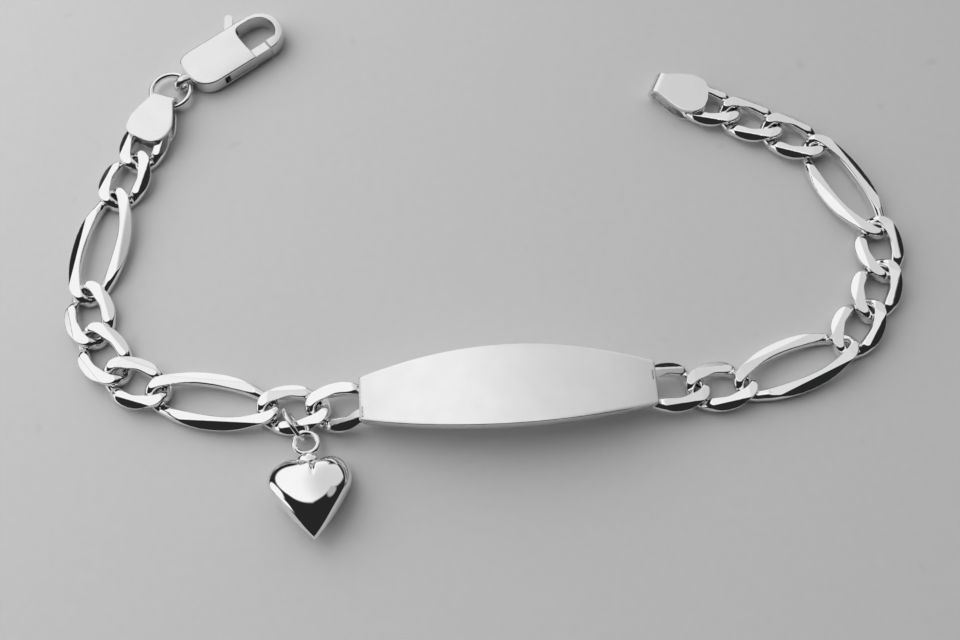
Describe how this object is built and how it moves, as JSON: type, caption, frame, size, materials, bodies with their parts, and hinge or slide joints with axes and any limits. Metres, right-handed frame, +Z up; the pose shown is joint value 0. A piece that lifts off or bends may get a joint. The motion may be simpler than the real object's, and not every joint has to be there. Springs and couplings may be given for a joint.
{
  "type": "id bracelet",
  "caption": "Curved name plate between two lengths of figaro chain with folded end tabs, a lobster clasp on a jump ring and a puffed heart charm, laid open.",
  "frame": {"origin": "middle of the bracelet's bounding box, on the surface that it lies on", "axes": "+X along the name plate, towards the end with no clasp; +Y away from the wearer's side, towards the clasp; +Z up"},
  "size_m": [0.0912, 0.0644, 0.0053],
  "materials": {
    "plate": "polished sterling silver, fine satin on the top face",
    "chain": "polished sterling silver with diamond-cut flats",
    "tab": "sterling silver sheet, softly polished",
    "ring": "polished sterling silver wire",
    "clasp": "cast sterling silver, polished",
    "heart": "stamped sterling silver, mirror polished"
  },
  "bodies": {
    "bracelet": {"id_plate": "plate", "left_link_1": "chain", "left_link_2": "chain", "left_link_3": "chain", "left_link_4": "chain", "left_link_5": "chain", "left_link_6": "chain", "left_link_7": "chain", "left_end_tab": "tab", "right_link_1": "chain", "right_link_2": "chain", "right_link_3": "chain", "right_link_4": "chain", "right_link_5": "chain", "right_link_6": "chain", "right_link_7": "chain", "right_link_8": "chain", "right_end_tab": "tab", "clasp_ring": "ring", "clasp_body": "clasp", "charm_ring": "ring", "heart_charm": "heart"},
    "lever": {"clasp_lever": "clasp"}
  },
  "joints": [
    {"name": "lever_hinge", "type": "hinge", "parent": "bracelet", "child": "lever", "pos_m": [-0.02878, 0.02463, 0.00105], "axis": [0, 0, 1], "range_deg": [0, 20], "stiffness_Nm_per_rad": 0.004, "springref_deg": -5.73}
  ]
}
